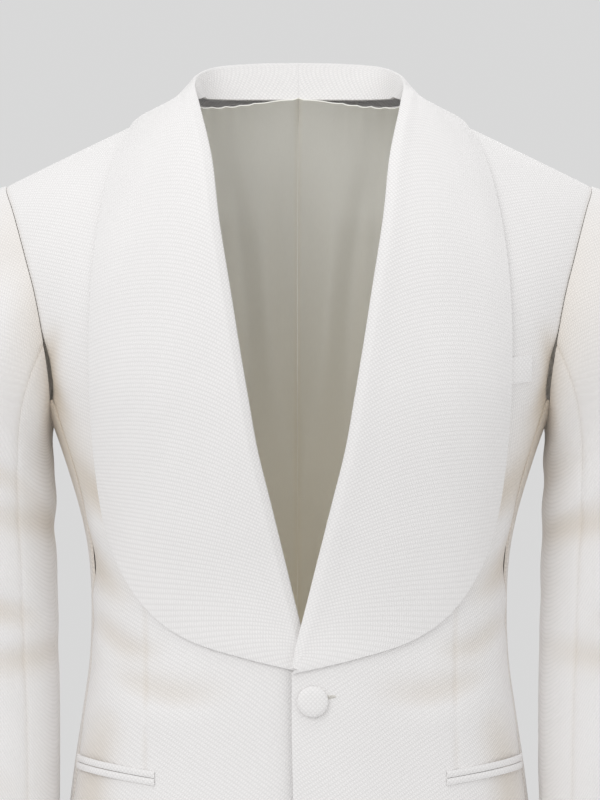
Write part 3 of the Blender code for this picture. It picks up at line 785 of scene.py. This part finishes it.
def sleeve_creases(points, turn):
    """Add up the soft troughs round the sleeve."""
    total = np.zeros(points.shape[:-1])
    z = points[..., 2]
    for at, high, low, spread, width, depth in SLEEVE_CREASES:
        off = (np.mod(turn - at + pi, 2 * pi) - pi) / spread
        line = (high + low) / 2 + (low - high) / 2 * np.clip(off, -1.5, 1.5)
        away = z - line
        if spread < 0.5:
            away = off * spread * SLEEVE_RADIUS
            fade = ease(z, low - 0.03, (high + low) / 2) * (1 - ease(z, (high + low) / 2, high + 0.03))
        else:
            fade = np.exp(-off ** 2)
        total += depth * fade * (np.exp(-(away / width) ** 2)
                                 - 0.5 * np.exp(-((away - 1.7 * width) / width) ** 2))
    return total


def make_sleeve(side, name, first, last, count, sizes):
    """Make the top or the under sleeve between two seams."""
    places = np.concatenate([np.linspace(0, 0.08, 8), np.linspace(0.08, 1, 46)[1:],
                             np.linspace(1, len(RINGS), 110)[1:]])
    turns = first + SEAM_TURN + (last - first - 2 * SEAM_TURN) * close_spacing(count)
    place, turn = np.meshgrid(places, turns, indexing="ij")
    points = sleeve_point(turn, place)
    normals = -grid_normals(points)
    rope = sizes.rope * np.exp(-((place - 0.07) / 0.06) ** 2) * np.clip(np.cos(turn), 0, 1)
    dips = seam_dips(points, ("left", "right")) + sleeve_creases(points, turn + 0.3 * side)
    # Painted shade under the arm near the armhole, and in the crease and seam dips.
    painted_shade = 0.7 * (1 - np.cos(turn)) / 2 * np.exp(-np.maximum(place, 0.0) / 0.35)
    points = points + (rope - dips)[..., None] * normals
    return wall_piece(name, points, normals, SHELL_WALL, ivory(sizes),
                      [name], side < 0, painted_shade + dips / FULL_SHADE)


def make_strip(side, name, ends, low, high, lift, sizes):
    """Make a strip that lies on a front: a pocket jet or the breast welt."""
    inner_x, inner_z, outer_x, outer_z = ends
    far = np.linspace(0, 1, 70)
    over = np.linspace(0, 1, 9)
    far, over = np.meshgrid(far, over)
    x = inner_x + (outer_x - inner_x) * far
    z = inner_z + (outer_z - inner_z) * far + high + (low - high) * over
    crowned = lift + 0.0005 * np.sin(pi * over)
    points = on_form(x, z, crowned + lap_lift(x, side))
    normals = on_form(x, z, np.ones_like(x)) - on_form(x, z, np.zeros_like(x))
    return wall_piece(name, points, normals, 0.0012, ivory(sizes),
                      [name], side < 0)


def button_frame():
    """Give the button's centre on the left front and its outward, across and up axes."""
    spot = (np.array(BUTTON_X), np.array(BUTTON_Z))
    base = on_form(*spot, np.array(FRONT_LAP + 0.0005))
    out = on_form(*spot, np.array(1.0)) - on_form(*spot, np.array(0.0))
    across = np.cross(out, np.array([0.0, 0.0, 1.0]))
    across /= np.linalg.norm(across)
    return base, out, -across, np.cross(out, -across)


def make_button(sizes):
    """Make the covered button: cloth drawn over a dome and tucked under its rim."""
    base, out, across, upward = button_frame()
    profile = [(0.0, 0.0), (0.70, 0.0), (0.90, 0.0004), (0.985, 0.0013), (1.0, 0.0022),
               (0.965, 0.0033), (0.87, 0.0042), (0.70, 0.0049), (0.50, 0.0053), (0.28, 0.0055),
               (0.12, 0.0056), (0.0, 0.0056)]
    profile = through(np.array(profile), np.linspace(0, len(profile) - 1, 60))
    around = 96
    shape = bmesh.new()
    rings = []
    for radius, height in profile[1:-1]:
        ring = []
        for k in range(around):
            turn = 2 * pi * k / around
            spread = across * cos(turn) + upward * sin(turn)
            pucker = 1 + 0.006 * sin(turn * 22) * (1 - min(height / 0.0022, 1.0))
            place = base + out * height + spread * radius * sizes.button_radius * pucker
            ring.append(shape.verts.new(place))
        rings.append(ring)
    for low, high in zip(rings, rings[1:]):
        for k in range(around):
            shape.faces.new((low[k], low[(k + 1) % around], high[(k + 1) % around], high[k]))
    for ring, height in ((rings[0], 0.0), (rings[-1], profile[-1][1])):
        pole = shape.verts.new(base + out * height)
        for k in range(around):
            shape.faces.new((ring[k], ring[(k + 1) % around], pole))
    bmesh.ops.recalc_face_normals(shape, faces=shape.faces)
    mesh = bpy.data.meshes.new("button_front_cloth")
    shape.to_mesh(mesh)
    shape.free()
    weave = mesh.uv_layers.new(name="cloth")
    for loop in mesh.loops:
        off = np.array(mesh.vertices[loop.vertex_index].co) - base
        weave.data[loop.index].uv = (float(off @ across), float(off @ upward))
    mesh.shade_smooth()
    mesh.materials.append(ivory(sizes))
    piece = bpy.data.objects.new("button_front_cloth", mesh)
    bpy.context.collection.objects.link(piece)
    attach(piece, BODY)
    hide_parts("button_front")


STITCH = {"Stitch length": 0.0016, "Thread radius": 0.00022, "Spacing": 0.0006}


def stitch_tree(material):
    """Build the nodes that lay short stitches side by side along a path."""
    tree = bpy.data.node_groups.new("Buttonhole stitches", "GeometryNodeTree")
    tree.interface.new_socket("Path", in_out="INPUT", socket_type="NodeSocketGeometry")
    for name, value in STITCH.items():
        socket = tree.interface.new_socket(name, in_out="INPUT", socket_type="NodeSocketFloat")
        socket.default_value = value
    tree.interface.new_socket("Stitches", in_out="OUTPUT", socket_type="NodeSocketGeometry")
    group_in = tree.nodes.new("NodeGroupInput")
    group_out = tree.nodes.new("NodeGroupOutput")
    curve = tree.nodes.new("GeometryNodeMeshToCurve")
    points = tree.nodes.new("GeometryNodeCurveToPoints")
    points.mode = "LENGTH"
    thread = tree.nodes.new("GeometryNodeMeshCylinder")
    thread.inputs["Vertices"].default_value = 8
    turn = tree.nodes.new("GeometryNodeTransform")
    turn.inputs["Rotation"].default_value = (0.0, pi / 2, 0.0)
    copies = tree.nodes.new("GeometryNodeInstanceOnPoints")
    real = tree.nodes.new("GeometryNodeRealizeInstances")
    paint = tree.nodes.new("GeometryNodeSetMaterial")
    paint.inputs["Material"].default_value = material
    link = tree.links.new
    link(group_in.outputs["Path"], curve.inputs["Mesh"])
    link(curve.outputs["Curve"], points.inputs["Curve"])
    link(group_in.outputs["Spacing"], points.inputs["Length"])
    link(group_in.outputs["Thread radius"], thread.inputs["Radius"])
    link(group_in.outputs["Stitch length"], thread.inputs["Depth"])
    link(thread.outputs["Mesh"], turn.inputs["Geometry"])
    link(points.outputs["Points"], copies.inputs["Points"])
    link(points.outputs["Rotation"], copies.inputs["Rotation"])
    link(turn.outputs["Geometry"], copies.inputs["Instance"])
    link(copies.outputs["Instances"], real.inputs["Geometry"])
    link(real.outputs["Geometry"], paint.inputs["Geometry"])
    link(paint.outputs["Geometry"], group_out.inputs["Stitches"])
    return tree


def thread_cloth(name, colour):
    """Make a matt thread or slit finish with a fine twist."""
    material, tree, shader = new_material(name)
    place = tree.nodes.new("ShaderNodeTexCoord").outputs["Object"]
    twist = noise(tree, place, 3000.0, 1.0)
    tree.links.new(bump(tree, twist, 0.3, 0.0001), shader.inputs["Normal"])
    shader.inputs["Base Color"].default_value = (*colour, 1)
    shader.inputs["Roughness"].default_value = 0.6
    return material


def make_buttonhole(sizes):
    """Make the buttonhole's whipped edge, which shows beside the button."""
    thread = thread_cloth("buttonhole_thread", (0.83, 0.81, 0.76))
    count = 40
    half, centre_x = 0.0115, BUTTON_X + 0.0060
    corners = []
    for k in range(count):
        turn = 2 * pi * k / count
        x = centre_x + half * cos(turn)
        z = BUTTON_Z + 0.0028 + 0.0011 * sin(turn) + 0.0012 * cos(turn)
        corners.append(on_form(np.array(x), np.array(z), np.array(FRONT_LAP + 0.0003)))
    path = bpy.data.meshes.new("buttonhole_path")
    path.from_pydata(np.array(corners).tolist(), [(k, (k + 1) % count) for k in range(count)], [])
    holder = bpy.data.objects.new("buttonhole_path", path)
    bpy.context.collection.objects.link(holder)
    modifier = holder.modifiers.new("Stitches", "NODES")
    tree = stitch_tree(thread)
    modifier.node_group = tree
    for item in tree.interface.items_tree:
        if item.in_out == "INPUT" and item.name in STITCH:
            modifier[item.identifier] = STITCH[item.name]
    ready = holder.evaluated_get(bpy.context.evaluated_depsgraph_get())
    mesh = bpy.data.meshes.new_from_object(ready)
    holder.modifiers.remove(modifier)
    bpy.data.objects.remove(holder)
    mesh.name = "buttonhole_stitches"
    piece = bpy.data.objects.new("buttonhole_stitches", mesh)
    bpy.context.collection.objects.link(piece)
    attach(piece, BODY)


def make_stage(sizes):
    """Make the pale floor, the soft lights and the camera."""
    scene = bpy.context.scene
    scene.view_settings.view_transform = "Standard"
    bpy.ops.mesh.primitive_plane_add(size=5.0, location=(0, 0, -0.95))
    floor = bpy.context.active_object
    floor.name = "floor"
    pale, _, shader = new_material("pale_floor")
    shader.inputs["Base Color"].default_value = (0.75, 0.75, 0.75, 1)
    shader.inputs["Roughness"].default_value = 0.9
    floor.data.materials.append(pale)
    world = bpy.data.worlds.new("studio")
    world.use_nodes = True
    world.node_tree.nodes["Background"].inputs[0].default_value = (*sizes.backdrop, 1)
    world.node_tree.nodes["Background"].inputs[1].default_value = 1.0
    scene.world = world
    lights = (("key", (-1.6, -2.6, 1.3), 2.0, sizes.key_power),
              ("fill", (2.0, -2.4, 0.6), 2.2, sizes.fill_power),
              ("top", (0.0, -0.6, 2.2), 1.6, sizes.top_power),
              ("rear", (0.3, 2.6, 1.2), 2.2, sizes.rear_power))
    for name, place, size, watts in lights:
        light = bpy.data.lights.new(name, "AREA")
        light.size = size
        light.energy = watts
        lamp = bpy.data.objects.new(name, light)
        lamp.location = place
        aim = Vector((0.0, 0.0, -0.25)) - lamp.location
        lamp.rotation_euler = aim.to_track_quat("-Z", "Y").to_euler()
        scene.collection.objects.link(lamp)
    lens = bpy.data.cameras.new("camera")
    lens.sensor_fit = "HORIZONTAL"
    lens.sensor_width = 36.0
    lens.lens = sizes.focal_length
    lens.clip_end = 50.0
    camera = bpy.data.objects.new("camera", lens)
    camera.location = (-0.04, -3.45, -0.241)
    aim = Vector((0.0, -0.06, -0.241)) - camera.location
    camera.rotation_euler = aim.to_track_quat("-Z", "Y").to_euler()
    scene.collection.objects.link(camera)
    scene.camera = camera


class JacketSizes(bpy.types.PropertyGroup):
    """Sizes and colours of the jacket's cloth."""

    ivory: bpy.props.FloatVectorProperty(
        name="Ivory", description="Colour of the jacket's cloth", default=(0.95, 0.935, 0.93),
        subtype="COLOR", size=3, min=0.0, max=1.0)
    satin_colour: bpy.props.FloatVectorProperty(
        name="Satin", description="Colour of the lining", default=(0.98, 0.965, 0.90),
        subtype="COLOR", size=3, min=0.0, max=1.0)
    weave_pitch: bpy.props.FloatProperty(
        name="Weave pitch", description="Distance between birdseye diamonds",
        default=0.0036, unit="LENGTH")
    button_radius: bpy.props.FloatProperty(
        name="Button radius", description="Radius of the covered button",
        default=0.0120, unit="LENGTH")
    dart_x: bpy.props.FloatProperty(
        name="Dart distance", description="Distance of the front dart from the centre",
        default=0.122, unit="LENGTH")
    dart_depth: bpy.props.FloatProperty(
        name="Dart depth", description="Depth of the dart's line", default=0.0007, unit="LENGTH")
    rope: bpy.props.FloatProperty(
        name="Sleeve-head rope", description="Height of the ridge at the sleeve head",
        default=0.0022, unit="LENGTH")


class StageSizes(bpy.types.PropertyGroup):
    """Lights, backdrop and lens."""

    backdrop: bpy.props.FloatVectorProperty(
        name="Backdrop", description="Colour of the surroundings", default=(0.69, 0.69, 0.69),
        subtype="COLOR", size=3, min=0.0, max=1.0)
    key_power: bpy.props.FloatProperty(
        name="Key light", description="Power of the light from the front left",
        default=22.0, unit="POWER")
    fill_power: bpy.props.FloatProperty(
        name="Fill light", description="Power of the light from the front right",
        default=5.0, unit="POWER")
    top_power: bpy.props.FloatProperty(
        name="Top light", description="Power of the light overhead", default=9.0, unit="POWER")
    rear_power: bpy.props.FloatProperty(
        name="Rear light", description="Power of the light behind", default=14.0, unit="POWER")
    focal_length: bpy.props.FloatProperty(
        name="Focal length", description="Camera lens in millimetres", default=257.0)


SIDES = (("left", 1), ("right", -1))


class JACKET_OT_fronts(bpy.types.Operator):
    """Make the two fronts."""

    bl_idname = "jacket.fronts"
    bl_label = "Fronts"

    def execute(self, context):
        for name, side in SIDES:
            make_front(side, "front_" + name, context.scene.jacket)
        return {"FINISHED"}


class JACKET_OT_sides(bpy.types.Operator):
    """Make the two side bodies."""

    bl_idname = "jacket.sides"
    bl_label = "Side bodies"

    def execute(self, context):
        for name, side in SIDES:
            make_side(side, "side_" + name, context.scene.jacket)
        return {"FINISHED"}


class JACKET_OT_backs(bpy.types.Operator):
    """Make the two halves of the back."""

    bl_idname = "jacket.backs"
    bl_label = "Backs"

    def execute(self, context):
        for name, side in SIDES:
            make_back(side, "back_" + name, context.scene.jacket)
        return {"FINISHED"}


class JACKET_OT_linings(bpy.types.Operator):
    """Make the satin lining."""

    bl_idname = "jacket.linings"
    bl_label = "Lining"

    def execute(self, context):
        for name, side in SIDES:
            make_lining(side, "lining_" + name, context.scene.jacket)
        return {"FINISHED"}


class JACKET_OT_shawls(bpy.types.Operator):
    """Make the shawl collar."""

    bl_idname = "jacket.shawls"
    bl_label = "Shawl collar"

    def execute(self, context):
        for name, side in SIDES:
            make_shawl(side, "shawl_" + name, context.scene.jacket)
        return {"FINISHED"}


class JACKET_OT_sleeves(bpy.types.Operator):
    """Make the top and under sleeves."""

    bl_idname = "jacket.sleeves"
    bl_label = "Sleeves"

    def execute(self, context):
        front, back = SLEEVE_SEAMS
        for name, side in SIDES:
            make_sleeve(side, "under_sleeve_" + name, front, back, 40, context.scene.jacket)
            make_sleeve(side, "top_sleeve_" + name, back - 2 * pi, front, 100,
                        context.scene.jacket)
        return {"FINISHED"}


class JACKET_OT_pockets(bpy.types.Operator):
    """Make the pocket jets and the breast welt."""

    bl_idname = "jacket.pockets"
    bl_label = "Pockets"

    def execute(self, context):
        slit = (0.114, -0.5365, 0.1760, -0.5285)
        for name, side in SIDES:
            make_strip(side, "jet_upper_" + name, slit, 0.0003, 0.0055, 0.0014,
                       context.scene.jacket)
            make_strip(side, "jet_lower_" + name, slit, -0.0055, -0.0003, 0.0014,
                       context.scene.jacket)
        welt = (0.085, -0.2210, 0.1810, -0.2050)
        make_strip(1, "welt_breast", welt, -0.0210, 0.0, 0.0014, context.scene.jacket)
        return {"FINISHED"}


class JACKET_OT_button(bpy.types.Operator):
    """Make the covered button and its buttonhole."""

    bl_idname = "jacket.button"
    bl_label = "Button"

    def execute(self, context):
        make_button(context.scene.jacket)
        make_buttonhole(context.scene.jacket)
        return {"FINISHED"}


class JACKET_OT_stage(bpy.types.Operator):
    """Make the floor, the lights and the camera."""

    bl_idname = "jacket.stage"
    bl_label = "Stage"

    def execute(self, context):
        make_stage(context.scene.jacket_stage)
        return {"FINISHED"}


OPERATORS = (JACKET_OT_fronts, JACKET_OT_sides, JACKET_OT_backs, JACKET_OT_linings,
             JACKET_OT_shawls, JACKET_OT_sleeves, JACKET_OT_pockets, JACKET_OT_button,
             JACKET_OT_stage)


class JACKET_PT_panel(bpy.types.Panel):
    """List the jacket's pieces in the sidebar."""

    bl_label = "Tuxedo jacket"
    bl_idname = "JACKET_PT_panel"
    bl_space_type = "VIEW_3D"
    bl_region_type = "UI"
    bl_category = "Tuxedo"

    def draw(self, context):
        for operator in OPERATORS:
            self.layout.operator(operator.bl_idname)
        for name in JacketSizes.__annotations__:
            self.layout.prop(context.scene.jacket, name)
        for name in StageSizes.__annotations__:
            self.layout.prop(context.scene.jacket_stage, name)


CLASSES = (JacketSizes, StageSizes, *OPERATORS, JACKET_PT_panel)


def register():
    """Register the classes and put the sizes on the scene."""
    for kind in CLASSES:
        bpy.utils.register_class(kind)
    bpy.types.Scene.jacket = bpy.props.PointerProperty(type=JacketSizes)
    bpy.types.Scene.jacket_stage = bpy.props.PointerProperty(type=StageSizes)


def unregister():
    """Take the classes and the sizes away again."""
    del bpy.types.Scene.jacket_stage
    del bpy.types.Scene.jacket
    for kind in reversed(CLASSES):
        bpy.utils.unregister_class(kind)


def main():
    """Make the whole jacket and its stage, after putting the sizes on the scene."""
    register()
    bpy.ops.jacket.fronts()
    bpy.ops.jacket.sides()
    bpy.ops.jacket.backs()
    bpy.ops.jacket.linings()
    bpy.ops.jacket.shawls()
    bpy.ops.jacket.sleeves()
    bpy.ops.jacket.pockets()
    bpy.ops.jacket.button()
    bpy.ops.jacket.stage()


if __name__ == "__main__":
    main()
